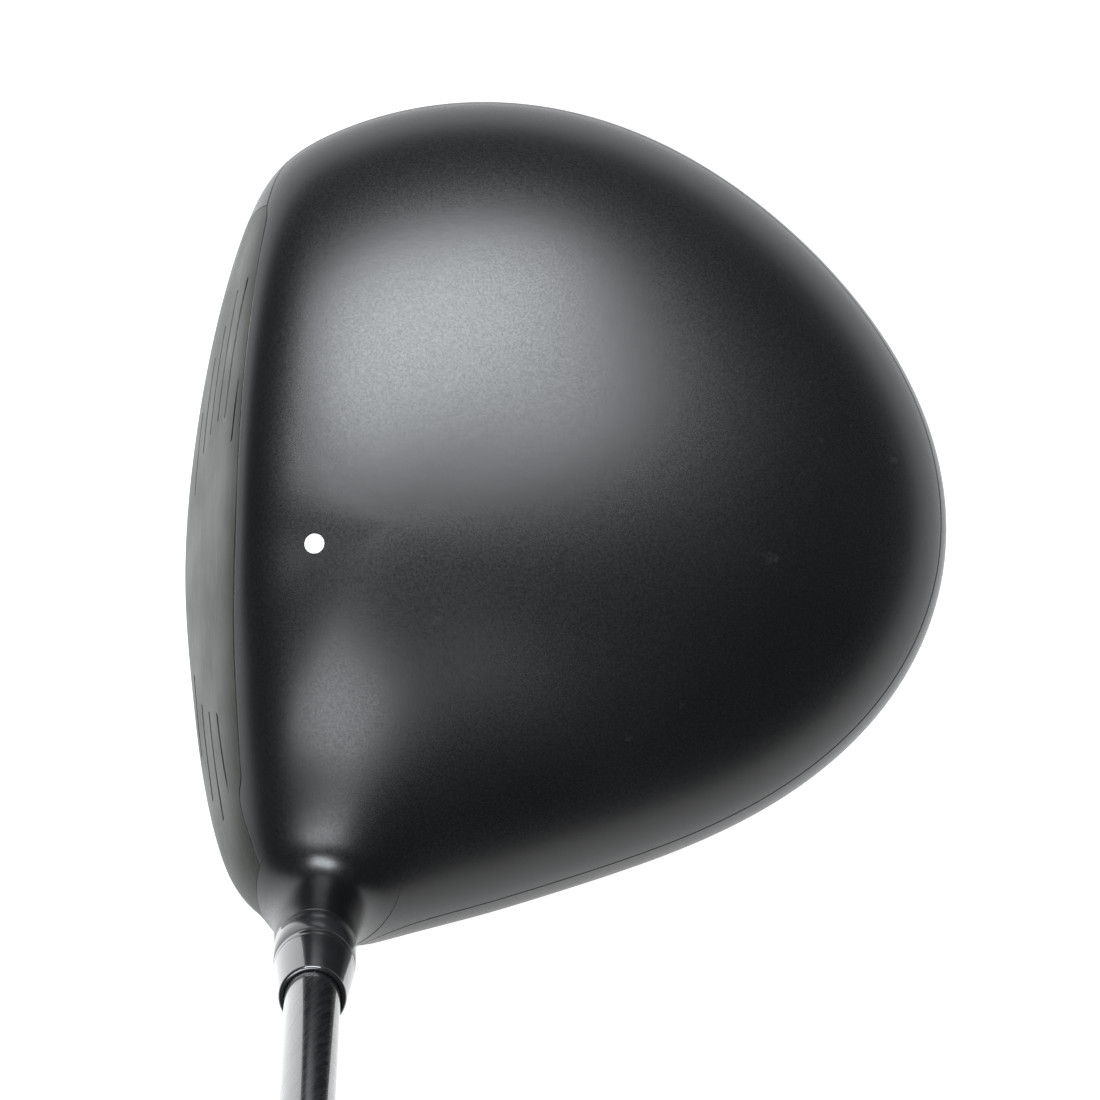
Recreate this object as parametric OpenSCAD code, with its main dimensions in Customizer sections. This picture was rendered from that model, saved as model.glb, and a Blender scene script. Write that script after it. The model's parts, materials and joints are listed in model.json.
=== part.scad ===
// Golf driver: a hollow head on an adjustable hosel sleeve, a tapered graphite shaft and a rubber grip.
// Frame: +Z up, -X towards the target, +Y towards the toe, -Y towards the player.
// The origin is the middle of the small flat patch that the sole rests on.

/* [Head] */
// Height of the crown's highest point above the ground
crown_height = 58; // [56:0.5:61]
// Angle between the face and the vertical
loft = 12; // [9:0.5:13]
// Radius of the face's curve from heel to toe
face_bulge = 230; // [220:5:300]
// Radius of the face's curve from sole to crown
face_roll = 300; // [260:5:330]
// Thickness of the forged face
face_wall = 3; // [2.5:0.1:3.5]
// Thickness of the composite crown
crown_wall = 1.1; // [0.9:0.1:1.4]
// Thickness of the cast skirt and sole
body_wall = 1.5; // [1.2:0.1:1.8]
// Depth of the score lines
score_depth = 0.5; // [0.4:0.05:0.6]

/* [Hosel] */
// Angle between the shaft and the ground
lie = 59.5; // [58:0.25:60]
// Outer radius of the hosel's rim and the exposed sleeve
hosel_radius = 6.2; // [6.1:0.05:6.5]
// Length of sleeve that shows above the hosel
sleeve_ring = 8.5; // [7:0.5:10]
// Length of the ferrule
ferrule_length = 12; // [10:0.5:16]
// Number of splines that set the sleeve's angle
spline_count = 8; // [6:1:10]

/* [Shaft and grip] */
// Length of the club along the shaft, from the ground to the butt
club_length = 1156; // [1118:1:1181]
// Diameter of the shaft's parallel tip
tip_diameter = 8.4; // [8.3:0.1:8.5]
// Diameter of the shaft at the butt
butt_diameter = 15.2; // [14.7:0.1:15.6]
// Length of the grip with its cap
grip_length = 267; // [255:1:280]
// Diameter of the grip just below its cap
grip_butt_diameter = 26.6; // [25:0.2:28]
// Diameter of the vent hole in the grip's cap
vent_diameter = 3; // [2.6:0.2:3.4]

/* [Weights] */
// Radius of the weight at the back of the sole
rear_weight_radius = 9.5; // [8:0.5:10]
// Radius of the weight behind the leading edge
front_weight_radius = 6.5; // [6:0.5:7]

/* [Hidden] */
$fn = 72;

// Plan outline of the head at its widest height: distances from the origin at equal steps round it,
// from the rear towards the toe. In front it runs on past the face, which cuts it off.
outline_radii = [84, 81.5, 76.5, 70, 59.5, 51.5, 48, 45, 55.5, 57.5, 57.5, 70.5];
outline_count = len(outline_radii);
outline_step = 360 / outline_count;
crown_power = 1.95;
sole_power = 1.9;
sole_dip = 0.6;
face_front = -30.7;
face_middle = [-3, 30];
edge_blend = 9;
hosel_blend = 18;
bond_gap = 0.3;

// The shaft's axis meets the ground here; distances called t run up it from there
shaft_foot = [-12, -33, 0];
shaft_way = [0, -cos(lie), sin(lie)];
rim_t = 60;
cut_t = 38;
cut_angle = 64;
inside = [20, 2, 28];

// Sleeve and bolt, along the shaft's axis
insert_radius = 5.3;
fit_gap = 0.05;
sleeve_end_t = rim_t - 32;
spline_length = 6;
tip_end_t = sleeve_end_t + 12;
seat_t = sleeve_end_t - 2;
seat_depth = 3;
bolt_radius = 2.45;
bolt_head_radius = 3.9;
bolt_head_height = 4;
washer_height = 1;
tool_bore = 4.4;
tube_radius = 6.3;
tube_low_t = seat_t - 8;
tube_high_t = seat_t + 20;
port_tube_radius = 5.7;
port_t = 7;
port_reach = 20;
ring_top_t = rim_t + sleeve_ring;
ferrule_top_t = ring_top_t + ferrule_length;

// Weights
port_wall = 1.2;
port_sink = 0.9;
disc_gap = 0.3;
weight_height = 5;
screw_radius = 1.95;
screw_head_radius = 3.6;
screw_head_height = 3;

shaft_outer = tip_diameter / 2;
tip_parallel_t = 150;
grip_foot_t = club_length - grip_length;
cap_height = 6;
tape_wall = 0.2;
mouth_radius = 9.8;

// Score lines: their height on the face, and how far from the face's middle each starts and ends
score_heights = [for (i = [0:5]) 48.5 - 5 * i];
score_starts = [17, 22, 22.5, 21.5, 19.5, 14];
score_ends = [36, 44.5, 43, 38.5, 34.5, 27];
score_width = 0.5;

// ---- The head's outer surface ----

// Smooth closed curve through the outline's radii
function ripple(a) =
    abs(tan(a / 2)) < 0.00001 ? 1 : sin(outline_count * a / 2) / (outline_count * tan(a / 2));
function outline(a) = outline_radii * [for (i = [0:outline_count - 1]) ripple(a - i * outline_step)];
function widest_height(a) = 28.5 + 2.5 * sin(a) - 1.5 * cos(a);
function reach(x, y) = norm([x, y]) / outline(atan2(y, x));

// Each field is below zero inside, and close to the distance in millimetres near its surface
function dome(p) = let (
        a = atan2(p.y, p.x),
        mid = widest_height(a),
        up = p.z > mid,
        high = up ? (p.z - mid) / (crown_height - mid) : (mid - p.z) / (mid + sole_dip),
        out = pow(norm([p.x, p.y]) / outline(a), up ? crown_power : sole_power))
    (sqrt(out + high * high) - 1) * norm([p.x, p.y, p.z - mid]) * 0.92;
function face_x(y, z) = let (across = y - face_middle[0], above = z - face_middle[1])
    face_front + above * tan(loft) + above * above / (2 * face_roll) + across * across / (2 * face_bulge);
function face_side(p) = (face_x(p.y, p.z) - p.x) * cos(loft);
function neck(p, top_t) = let (
        d = p - shaft_foot,
        t = d * shaft_way,
        side = norm(d - t * shaft_way))
    max(side - hosel_radius - 0.03 * max(rim_t - t, 0), (46 - t) / 2, t - top_t);
function blend_out(a, b, k) = let (h = max(k - abs(a - b), 0) / k) max(a, b) + h * h * h * k / 6;
function head_field(p, top_t) =
    -blend_out(-blend_out(dome(p), face_side(p), edge_blend), -neck(p, top_t), hosel_blend);

// Distance from a point inside the head to the first place where a line leaves it
march = 3;
stub_t = 50;
function narrowed(from, way, top_t, low, high, steps) = let (m = (low + high) / 2)
    steps == 0 ? m
    : head_field(from + m * way, top_t) < 0 ? narrowed(from, way, top_t, m, high, steps - 1)
    : narrowed(from, way, top_t, low, m, steps - 1);
function surface_distance(from, way, top_t = stub_t, r = 4) =
    head_field(from + r * way, top_t) < 0 ? surface_distance(from, way, top_t, r + march)
    : narrowed(from, way, top_t, r - march, r, 12);
function slope(p, e = 0.2) = unit([for (d = [[e, 0, 0], [0, e, 0], [0, 0, e]])
    head_field(p + d, stub_t) - head_field(p - d, stub_t)]);
function unit(v) = v / norm(v);
function mix(a, b, u) = a + (b - a) * u;
function crown_z(x, y) = let (mid = widest_height(atan2(y, x)))
    mid + (crown_height - mid) * sqrt(max(1 - pow(reach(x, y), crown_power), 0));
function sole_z(x, y) = let (mid = widest_height(atan2(y, x)))
    mid - (mid + sole_dip) * sqrt(max(1 - pow(reach(x, y), sole_power), 0));

// ---- Seams between the shells, as points near the surface ----

seam_steps = 18;
round_steps = 44;
toe_angle = 111;
heel_angle = 258;
crown_reach = 0.988;
sole_reach = 0.86;
toe_top = [-22.5, 56, 41];
toe_low = [-27, 50, 15];
heel_low = [-25.5, -44, 14];
heel_top = shaft_foot + 45 * shaft_way;

// The face's upper edge, heel to toe, where the rounding to the crown begins
function top_line(u) = let (
        y = mix(heel_top.y + 8, toe_top.y, u),
        z = crown_z(face_x(y, 48) + 2, y) - 4)
    [face_x(y, z) + 0.6, y, z];
function lead_line(u) = let (y = mix(toe_low.y, heel_low.y, u))
    [face_x(y, 9) + 0.8, y, 9.5 + 5 * pow(2 * u - 1, 4)];
function round_line(u, out, over) = let (
        a = mix(toe_angle, heel_angle - 360, u),
        r = out * outline(a),
        x = r * cos(a),
        y = r * sin(a))
    [x, y, over ? crown_z(x, y) : sole_z(x, y)];

top_seam = [heel_top, for (i = [1:seam_steps - 1]) top_line(i / seam_steps), toe_top];
lead_seam = [toe_low, for (i = [1:seam_steps - 1]) lead_line(i / seam_steps), heel_low];
crown_seam = [toe_top, for (i = [1:round_steps - 1]) round_line(i / round_steps, crown_reach, true),
              heel_top];
sole_seam = [toe_low, for (i = [1:round_steps - 1]) round_line(i / round_steps, sole_reach, false),
             heel_low];
end_steps = 6;
toe_seam = [for (i = [0:end_steps]) mix(toe_top, toe_low, i / end_steps)];
heel_seam = [for (i = [0:end_steps]) mix(heel_low, heel_top, i / end_steps)];
function without_last(list) = [for (i = [0:len(list) - 2]) list[i]];
function reversed(list) = [for (i = [len(list) - 1:-1:0]) list[i]];

face_edge = concat(without_last(top_seam), without_last(toe_seam), without_last(lead_seam),
                   without_last(heel_seam));
crown_edge = reversed(concat(without_last(top_seam), without_last(crown_seam)));
sole_edge = reversed(concat(without_last(lead_seam), [for (i = [round_steps:-1:1]) sole_seam[i]]));

// ---- Closed shells ----

// A skin of one wall thickness inside a closed edge, in rings round its middle, standing proud or not
module skin(middle, edge, rings, wall, proud = 0) {
    count = len(edge);
    start = unit(middle - inside);
    ways = [start, for (r = [1:rings]) for (e = edge)
        unit(mix(start, unit(e - inside), pow(r / rings, 0.75)))];
    far = [for (w = ways) surface_distance(inside, w) + proud];
    points = [for (i = [0:len(ways) - 1]) inside + ways[i] * far[i],
              for (i = [0:len(ways) - 1]) inside + ways[i] * (far[i] - wall)];
    under = len(ways);
    function at(r, k) = r == 0 ? 0 : 1 + (r - 1) * count + k % count;
    outer = [for (r = [0:rings - 1]) for (k = [0:count - 1])
        each concat(r == 0 ? [] : [[at(r, k), at(r, k + 1), at(r + 1, k)]],
                    [[at(r, k + 1), at(r + 1, k + 1), at(r + 1, k)]])];
    side = [for (k = [0:count - 1]) each [
        [at(rings, k), at(rings, k + 1), under + at(rings, k)],
        [at(rings, k + 1), under + at(rings, k + 1), under + at(rings, k)]]];
    polyhedron(points, concat(outer, side, [for (f = outer) [under + f[0], under + f[2], under + f[1]]]));
}

// A band between two open edges. Its section has an outer and an inner chain of as many points,
// each point [share of the way up, depth below the surface]
module band(low_edge, high_edge, outer, inner) {
    section = concat(outer, reversed(inner));
    count = len(section);
    rows = len(low_edge);
    points = [for (i = [0:rows - 1]) for (s = section) let (
            way = unit(mix(unit(low_edge[i] - inside), unit(high_edge[i] - inside), s[0])))
        inside + way * (surface_distance(inside, way) - s[1])];
    function at(i, k) = i * count + k % count;
    long = [for (i = [0:rows - 2]) for (k = [0:count - 1]) each [
        [at(i, k), at(i + 1, k), at(i, k + 1)],
        [at(i + 1, k), at(i + 1, k + 1), at(i, k + 1)]]];
    first = [for (k = [0:len(outer) - 2]) each [
        [at(0, k), at(0, k + 1), at(0, count - 1 - k)],
        [at(0, k + 1), at(0, count - 2 - k), at(0, count - 1 - k)]]];
    last = [for (f = first) [for (i = [2:-1:0]) f[i] + (rows - 1) * count]];
    polyhedron(points, concat(long, first, last));
}

module along_shaft(t = 0) {
    translate(shaft_foot) rotate([90 - lie, 0, 0]) translate([0, 0, t]) children();
}

// Everything of the head's shells that the hosel takes the place of
module hosel_cut() {
    along_shaft(cut_t) cylinder(h = 40, r1 = 0, r2 = 40 * tan(cut_angle));
    along_shaft(tube_low_t) cylinder(h = tube_high_t - tube_low_t, r = tube_radius);
    along_shaft(-5) cylinder(h = tube_low_t + 6, r = port_tube_radius);
}

module port_place(x, y, tilt) {
    translate([x, y, sole_z(x, y)]) rotate([0, tilt, 0]) children();
}

module rear_place() { port_place(57, 2, -17) children(); }
module front_place() { port_place(-19.5, -3, 9) children(); }

// ---- Head ----

module score_line(side, i) {
    z = score_heights[i];
    half = (score_starts[i] + score_ends[i]) / 2;
    y = face_middle[0] + side * half;
    long = score_ends[i] - score_starts[i];
    turn = atan((y - face_middle[0]) / face_bulge);
    translate([face_x(y, z), y, z]) rotate([0, 0, -turn])
        translate([score_depth - 5, -long / 2, -score_width / 2]) cube([5, long, score_width]);
}

module face_plate() {
    color("dimgray") difference() {
        skin([face_front, face_middle[0], face_middle[1]], face_edge, 8, face_wall);
        hosel_cut();
        for (side = [-1, 1]) for (i = [0:len(score_heights) - 1]) score_line(side, i);
    }
}

module crown() {
    color([0.08, 0.08, 0.09]) difference() {
        skin([12, 2, crown_height], crown_edge, 12, crown_wall);
        hosel_cut();
    }
}

// The skirt carries a ledge under the crown's edge, which the crown is bonded to
module body_skirt() {
    ledge = crown_wall + bond_gap;
    under = ledge + 1;
    outer = [[0, 0], [0.25, 0], [0.5, 0], [0.75, 0], [1, 0], [1, ledge], [1.22, ledge]];
    inner = [[0, body_wall], [0.25, body_wall], [0.5, body_wall], [0.75, body_wall], [0.9, under],
             [1, under], [1.22, under]];
    color([0.1, 0.1, 0.11]) difference() {
        band(sole_seam, crown_seam, outer, inner);
        hosel_cut();
    }
}

module sole_plate() {
    color([0.12, 0.12, 0.13]) difference() {
        skin([8, 0, 0], sole_edge, 10, body_wall);
        translate([-150, -150, -50]) cube([300, 300, 50]);
        hosel_cut();
        rear_place() translate([0, 0, -10]) cylinder(h = 20, r = rear_weight_radius + port_wall);
        front_place() translate([0, 0, -10]) cylinder(h = 20, r = front_weight_radius + port_wall);
    }
}

// The neck's outer surface runs from its round rim down to the conical cut in the shells
module neck_skin() {
    count = 60;
    rings = 12;
    from = shaft_foot + cut_t * shaft_way;
    across = [1, 0, 0];
    over = cross(shaft_way, across);
    rim_angle = atan(hosel_radius / (rim_t - cut_t));
    function way(r, k) = let (
            tilt = mix(rim_angle, cut_angle, pow(r / rings, 0.8)),
            turn = 360 * k / count)
        cos(tilt) * shaft_way + sin(tilt) * (cos(turn) * across + sin(turn) * over);
    rim = [for (k = [0:count - 1]) from + way(0, k) * (rim_t - cut_t) / cos(rim_angle)];
    rest = [for (r = [1:rings]) for (k = [0:count - 1]) let (w = way(r, k))
        from + w * surface_distance(from, w, rim_t + 20)];
    points = concat(rim, rest, [from, from + (rim_t - cut_t) * shaft_way]);
    low = (rings + 1) * count;
    function at(r, k) = r * count + k % count;
    polyhedron(points, concat(
        [for (r = [0:rings - 1]) for (k = [0:count - 1]) each [
            [at(r, k), at(r, k + 1), at(r + 1, k)],
            [at(r, k + 1), at(r + 1, k + 1), at(r + 1, k)]]],
        [for (k = [0:count - 1]) [low, at(rings, k), at(rings, k + 1)]],
        [for (k = [0:count - 1]) [low + 1, at(0, k + 1), at(0, k)]]));
}

// The space outside the sole where the hosel's tool bore comes out
module below_port() {
    centre = shaft_foot + port_t * shaft_way;
    sight = unit(centre - inside);
    across = unit(cross(sight, [0, 0, 1]));
    over = cross(sight, across);
    rim = [for (a = [0:10:350]) centre + port_reach * (cos(a) * across + sin(a) * over)];
    skin(centre, rim, 5, 25, proud = 25);
}

module hosel() {
    color([0.1, 0.1, 0.11]) difference() {
        union() {
            neck_skin();
            along_shaft(tube_low_t) cylinder(h = tube_high_t - tube_low_t, r = tube_radius);
            along_shaft(2) cylinder(h = cut_t, r = port_tube_radius);
        }
        below_port();
        along_shaft(sleeve_end_t + spline_length) cylinder(h = 60, r = insert_radius + fit_gap);
        along_shaft(seat_t) cylinder(h = 60, r = insert_radius - 0.85);
        along_shaft(seat_t) for (i = [1:spline_count]) rotate([0, 0, i * 360 / spline_count])
            translate([0, -0.9, 0]) cube([insert_radius, 1.8, sleeve_end_t + spline_length - seat_t + 1]);
        along_shaft(-5) cylinder(h = 70, r = bolt_radius + 0.3);
        along_shaft(-5) cylinder(h = seat_t - seat_depth + 5, r = tool_bore);
    }
}

module weight_port(radius) {
    depth = weight_height + 2.5;
    difference() {
        union() {
            translate([0, 0, port_sink]) cylinder(h = depth, r = radius + port_wall);
            translate([0, 0, port_sink]) cylinder(h = depth + 4, r = 3.6);
        }
        cylinder(h = port_sink + weight_height + 0.6, r = radius + 0.15);
        translate([0, 0, -1]) cylinder(h = 30, r = screw_radius + fit_gap);
    }
}

module weight_disc(radius) {
    rotate_extrude() polygon([
        [screw_radius + fit_gap, weight_height], [screw_radius + fit_gap, screw_head_height],
        [screw_head_radius + 0.15, screw_head_height], [screw_head_radius + 0.15, 0], [radius - 0.8, 0],
        [radius, 0.8], [radius, weight_height]]);
}

// A cylinder head with a six-lobed socket, and a plain shank in place of the thread
module socket_screw(head_radius, head_height, shank_radius, shank_length) {
    lobe = head_radius * 0.17;
    socket = head_radius * 0.48;
    depth = head_height * 0.65 + 1;
    difference() {
        union() {
            rotate_extrude() polygon([[0, 0], [head_radius - 0.4, 0], [head_radius, 0.4],
                [head_radius, head_height], [0, head_height]]);
            cylinder(h = head_height + shank_length, r = shank_radius);
        }
        translate([0, 0, -1]) {
            cylinder(h = depth, r = socket);
            for (i = [1:6]) rotate([0, 0, 60 * i])
                translate([socket, 0, 0]) cylinder(h = depth, r = lobe, $fn = 24);
        }
    }
}

module rear_weight_port() {
    color([0.25, 0.25, 0.27]) rear_place() weight_port(rear_weight_radius);
}

module front_weight_port() {
    color([0.25, 0.25, 0.27]) front_place() weight_port(front_weight_radius);
}

module rear_weight() {
    color([0.45, 0.45, 0.47]) rear_place() translate([0, 0, port_sink + disc_gap])
        weight_disc(rear_weight_radius);
}

module front_weight() {
    color([0.45, 0.45, 0.47]) front_place() translate([0, 0, port_sink + disc_gap])
        weight_disc(front_weight_radius);
}

module rear_weight_screw() {
    color([0.2, 0.2, 0.2]) rear_place() translate([0, 0, port_sink + disc_gap])
        socket_screw(screw_head_radius, screw_head_height, screw_radius, weight_height + 2.5);
}

module front_weight_screw() {
    color([0.2, 0.2, 0.2]) front_place() translate([0, 0, port_sink + disc_gap])
        socket_screw(screw_head_radius, screw_head_height, screw_radius, weight_height + 2.5);
}

// A thin round mark on top of the crown, behind the middle of the face
module alignment_dot() {
    x = -12.3;
    y = -3;
    step = 0.5;
    slope_x = (crown_z(x + step, y) - crown_z(x - step, y)) / (2 * step);
    slope_y = (crown_z(x, y + step) - crown_z(x, y - step)) / (2 * step);
    color("white") translate([x, y, crown_z(x, y)]) rotate([atan(slope_y), -atan(slope_x), 0])
        translate([0, 0, -0.05]) cylinder(h = 0.2, r = 1.55);
}

// ---- Hosel parts ----

module hosel_washer() {
    color([0.6, 0.6, 0.6]) along_shaft(seat_t - seat_depth - washer_height) difference() {
        cylinder(h = washer_height, r = bolt_head_radius + 0.2);
        translate([0, 0, -1]) cylinder(h = 3, r = bolt_radius + fit_gap);
    }
}

module hosel_bolt() {
    color([0.3, 0.3, 0.32]) along_shaft(seat_t - seat_depth - washer_height - bolt_head_height)
        socket_screw(bolt_head_radius, bolt_head_height, bolt_radius, 15);
}

module hosel_sleeve() {
    core = insert_radius - 0.9;
    color([0.08, 0.08, 0.08]) along_shaft() difference() {
        union() {
            rotate_extrude() polygon([
                [0, sleeve_end_t], [core, sleeve_end_t], [core, sleeve_end_t + spline_length],
                [insert_radius, sleeve_end_t + spline_length + 0.5], [insert_radius, rim_t],
                [hosel_radius - 0.1, rim_t], [hosel_radius, rim_t + 0.1],
                [hosel_radius - 0.1, ring_top_t], [0, ring_top_t]]);
            for (i = [1:spline_count]) rotate([0, 0, i * 360 / spline_count])
                translate([0, -0.8, sleeve_end_t]) cube([insert_radius - 0.1, 1.6, spline_length + 0.3]);
        }
        translate([0, 0, tip_end_t]) cylinder(h = 60, r = shaft_outer);
        translate([0, 0, sleeve_end_t - 1]) cylinder(h = tip_end_t - sleeve_end_t, r = bolt_radius + fit_gap);
    }
}

// A cone drawn in towards the shaft, ending in a rounded lip
module ferrule() {
    base = hosel_radius - 0.1;
    top = shaft_outer + 0.9;
    lip = 0.5;
    color([0.05, 0.05, 0.05]) along_shaft() rotate_extrude() polygon([
        [shaft_outer, ring_top_t], [base, ring_top_t],
        for (u = [0:0.25:1]) [mix(base, top, pow(u, 1.15)), mix(ring_top_t + 0.6, ferrule_top_t - lip, u)],
        for (a = [30:30:90]) [top - lip + lip * cos(a), ferrule_top_t - lip + lip * sin(a)],
        [shaft_outer, ferrule_top_t]]);
}

// ---- Shaft and grip ----

module shaft() {
    butt = butt_diameter / 2;
    end_t = club_length - cap_height;
    color([0.04, 0.04, 0.045]) along_shaft() rotate_extrude() polygon([
        [shaft_outer - 1.6, tip_end_t], [shaft_outer, tip_end_t], [shaft_outer, tip_parallel_t],
        [butt, end_t], [butt - 1, end_t], [shaft_outer - 1.6, tip_parallel_t]]);
}

module shaft_tip_plug() {
    color([0.7, 0.6, 0.4]) along_shaft(tip_end_t) cylinder(h = 12, r = shaft_outer - 1.6);
}

function shaft_radius(t) = mix(shaft_outer, butt_diameter / 2,
    (t - tip_parallel_t) / (club_length - cap_height - tip_parallel_t));

module grip_tape() {
    low = grip_foot_t + 4;
    high = club_length - cap_height;
    color([0.8, 0.75, 0.6]) along_shaft() rotate_extrude() polygon([
        [shaft_radius(low), low], [shaft_radius(low) + tape_wall, low],
        [shaft_radius(high) + tape_wall, high], [shaft_radius(high), high]]);
}

module grip() {
    high = club_length - cap_height;
    low = grip_foot_t + 4;
    outer = grip_butt_diameter / 2;
    color([0.06, 0.06, 0.06]) along_shaft() rotate_extrude() polygon([
        [shaft_radius(grip_foot_t), grip_foot_t], [mouth_radius - 0.8, grip_foot_t],
        [mouth_radius, grip_foot_t + 1], [mouth_radius, grip_foot_t + 8],
        [mix(mouth_radius, outer, 0.36), grip_foot_t + grip_length * 0.45],
        [outer, high - 12], [outer + 0.4, high], [shaft_radius(high) + tape_wall, high],
        [shaft_radius(low) + tape_wall, low], [shaft_radius(low), low]]);
}

module grip_cap() {
    high = club_length - cap_height;
    base = grip_butt_diameter / 2 + 0.4;
    bulge = 2;
    color([0.07, 0.07, 0.07]) along_shaft(high) rotate_extrude() polygon([
        [vent_diameter / 2, 0], [base, 0],
        for (a = [-60:20:80])
            [base + bulge * cos(a) - 1, cap_height / 2 + 0.7 + (cap_height / 2 - 0.7) * sin(a)],
        [base - 2, cap_height], [vent_diameter / 2, cap_height]]);
}

face_plate();
crown();
body_skirt();
sole_plate();
hosel();
front_weight_port();
rear_weight_port();
alignment_dot();
front_weight();
front_weight_screw();
rear_weight();
rear_weight_screw();
hosel_washer();
hosel_bolt();
hosel_sleeve();
ferrule();
shaft();
shaft_tip_plug();
grip_tape();
grip();
grip_cap();
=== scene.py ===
"""Looks of the golf driver: fine shells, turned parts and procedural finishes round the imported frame."""

import json
import math

import bpy
import numpy as np
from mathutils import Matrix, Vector

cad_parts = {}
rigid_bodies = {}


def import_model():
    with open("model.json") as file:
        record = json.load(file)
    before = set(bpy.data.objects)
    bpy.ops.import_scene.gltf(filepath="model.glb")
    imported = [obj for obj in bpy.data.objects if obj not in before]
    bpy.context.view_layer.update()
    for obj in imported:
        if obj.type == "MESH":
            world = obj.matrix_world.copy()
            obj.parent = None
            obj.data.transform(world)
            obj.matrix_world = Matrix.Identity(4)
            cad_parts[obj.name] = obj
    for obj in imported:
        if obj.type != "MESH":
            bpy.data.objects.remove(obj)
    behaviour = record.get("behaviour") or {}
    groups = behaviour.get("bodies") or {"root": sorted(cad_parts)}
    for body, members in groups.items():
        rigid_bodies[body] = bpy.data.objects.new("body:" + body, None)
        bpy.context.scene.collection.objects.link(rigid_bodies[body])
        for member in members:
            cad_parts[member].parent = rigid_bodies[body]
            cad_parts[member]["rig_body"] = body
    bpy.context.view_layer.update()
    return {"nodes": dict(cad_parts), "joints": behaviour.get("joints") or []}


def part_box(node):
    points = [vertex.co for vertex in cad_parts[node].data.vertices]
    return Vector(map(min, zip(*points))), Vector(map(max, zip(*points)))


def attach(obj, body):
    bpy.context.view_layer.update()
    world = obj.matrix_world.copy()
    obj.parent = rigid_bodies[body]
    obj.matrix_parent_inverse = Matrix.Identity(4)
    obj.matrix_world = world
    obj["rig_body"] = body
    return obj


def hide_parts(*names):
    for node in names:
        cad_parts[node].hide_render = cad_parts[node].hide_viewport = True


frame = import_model()

# All lengths in this script are millimetres until a mesh is made
MM = 0.001
JOINTS = {j["name"]: j for j in frame["joints"]}


def in_mm(point):
    return np.array([float(v) for v in point]) / MM


# ---- The shaft's axis and the stations along it; t is the distance from the ground along the axis ----

LIE = math.radians(59.5)
SHAFT_FOOT = np.array([-12.0, -33.0, 0.0])
SHAFT_WAY = np.array([0.0, -math.cos(LIE), math.sin(LIE)])
ACROSS = np.array([1.0, 0.0, 0.0])
OVER = np.cross(SHAFT_WAY, ACROSS)
RIM_T = 60
CUT_T = 38
CUT_ANGLE = 64
RING_TOP_T = RIM_T + 8.5
FERRULE_TOP_T = RING_TOP_T + 12
SLEEVE_END_T = RIM_T - 32
SPLINE_LENGTH = 6
SEAT_T = SLEEVE_END_T - 2
SEAT_DEPTH = 3
WASHER_HEIGHT = 1
BOLT_HEAD_RADIUS = 3.9
BOLT_HEAD_HEIGHT = 4
BOLT_RADIUS = 2.45
HOSEL_RADIUS = 6.2
INSERT_RADIUS = 5.3
TUBE_RADIUS = 6.3
PORT_TUBE_RADIUS = 5.7
TOOL_BORE = 4.4
SHAFT_TIP = 4.2
TIP_END_T = SLEEVE_END_T + 12
TIP_PARALLEL_T = 150
CLUB_LENGTH = 1156
GRIP_LENGTH = 267
SHAFT_BUTT = 7.6
CAP_HEIGHT = 6
GRIP_FOOT_T = CLUB_LENGTH - GRIP_LENGTH
GRIP_BUTT = 13.3
GRIP_MOUTH = 9.8
VENT = 1.5
SPLINES = 8

# ---- The head's outer surface, by the same formulas as the solid one ----

OUTLINE_RADII = np.array([84, 81.5, 76.5, 70, 59.5, 51.5, 48, 45, 55.5, 57.5, 57.5, 70.5])
OUTLINE_SHARE = 0.996  # keeps the fine outline inside the flats of the solid one
CROWN_HEIGHT = round(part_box("crown")[1].z / MM, 1)
LOFT = math.radians(12)
FACE_FRONT = -30.7
FACE_MIDDLE = (-3.0, 30.0)
FACE_BULGE = 230
FACE_ROLL = 300
CROWN_POWER = 1.95
SOLE_POWER = 1.9
SOLE_DIP = 0.6
EDGE_BLEND = 9
HOSEL_BLEND = 18
STUB_T = 50
INSIDE = np.array([20.0, 2.0, 28.0])
INSET = 0.15  # how far the fine surfaces stay inside the solid ones


def outline(angle):
    half = np.radians(np.asarray(angle)[..., None] - 30 * np.arange(12)) / 2
    tangent = np.tan(half)
    near = np.abs(tangent) < 1e-6
    weights = np.where(near, 1, np.sin(12 * half) / (12 * np.where(near, 1, tangent)))
    return weights @ OUTLINE_RADII * OUTLINE_SHARE


def plan_angle(x, y):
    return np.degrees(np.arctan2(y, x))


def widest_height(angle):
    a = np.radians(angle)
    return 28.5 + 2.5 * np.sin(a) - 1.5 * np.cos(a)


def dome(p):
    x, y, z = p[..., 0], p[..., 1], p[..., 2]
    angle = plan_angle(x, y)
    middle = widest_height(angle)
    up = z > middle
    high = np.where(up, (z - middle) / (CROWN_HEIGHT - middle), (middle - z) / (middle + SOLE_DIP))
    out = (np.hypot(x, y) / outline(angle)) ** np.where(up, CROWN_POWER, SOLE_POWER)
    return (np.sqrt(out + high**2) - 1) * np.sqrt(x * x + y * y + (z - middle) ** 2) * 0.92


def face_x(y, z):
    across, above = y - FACE_MIDDLE[0], z - FACE_MIDDLE[1]
    return FACE_FRONT + above * math.tan(LOFT) + above**2 / (2 * FACE_ROLL) + across**2 / (2 * FACE_BULGE)


def shaft_station(p):
    """Distance along the shaft's axis and away from it."""
    d = p - SHAFT_FOOT
    t = d @ SHAFT_WAY
    return t, np.linalg.norm(d - t[..., None] * SHAFT_WAY, axis=-1)


def neck(p, top_t):
    t, side = shaft_station(p)
    flank = side - HOSEL_RADIUS - 0.03 * np.maximum(RIM_T - t, 0)
    return np.maximum(np.maximum(flank, (46 - t) / 2), t - top_t)


def blend_out(a, b, k):
    h = np.maximum(k - np.abs(a - b), 0) / k
    return np.maximum(a, b) + h**3 * k / 6


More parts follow.
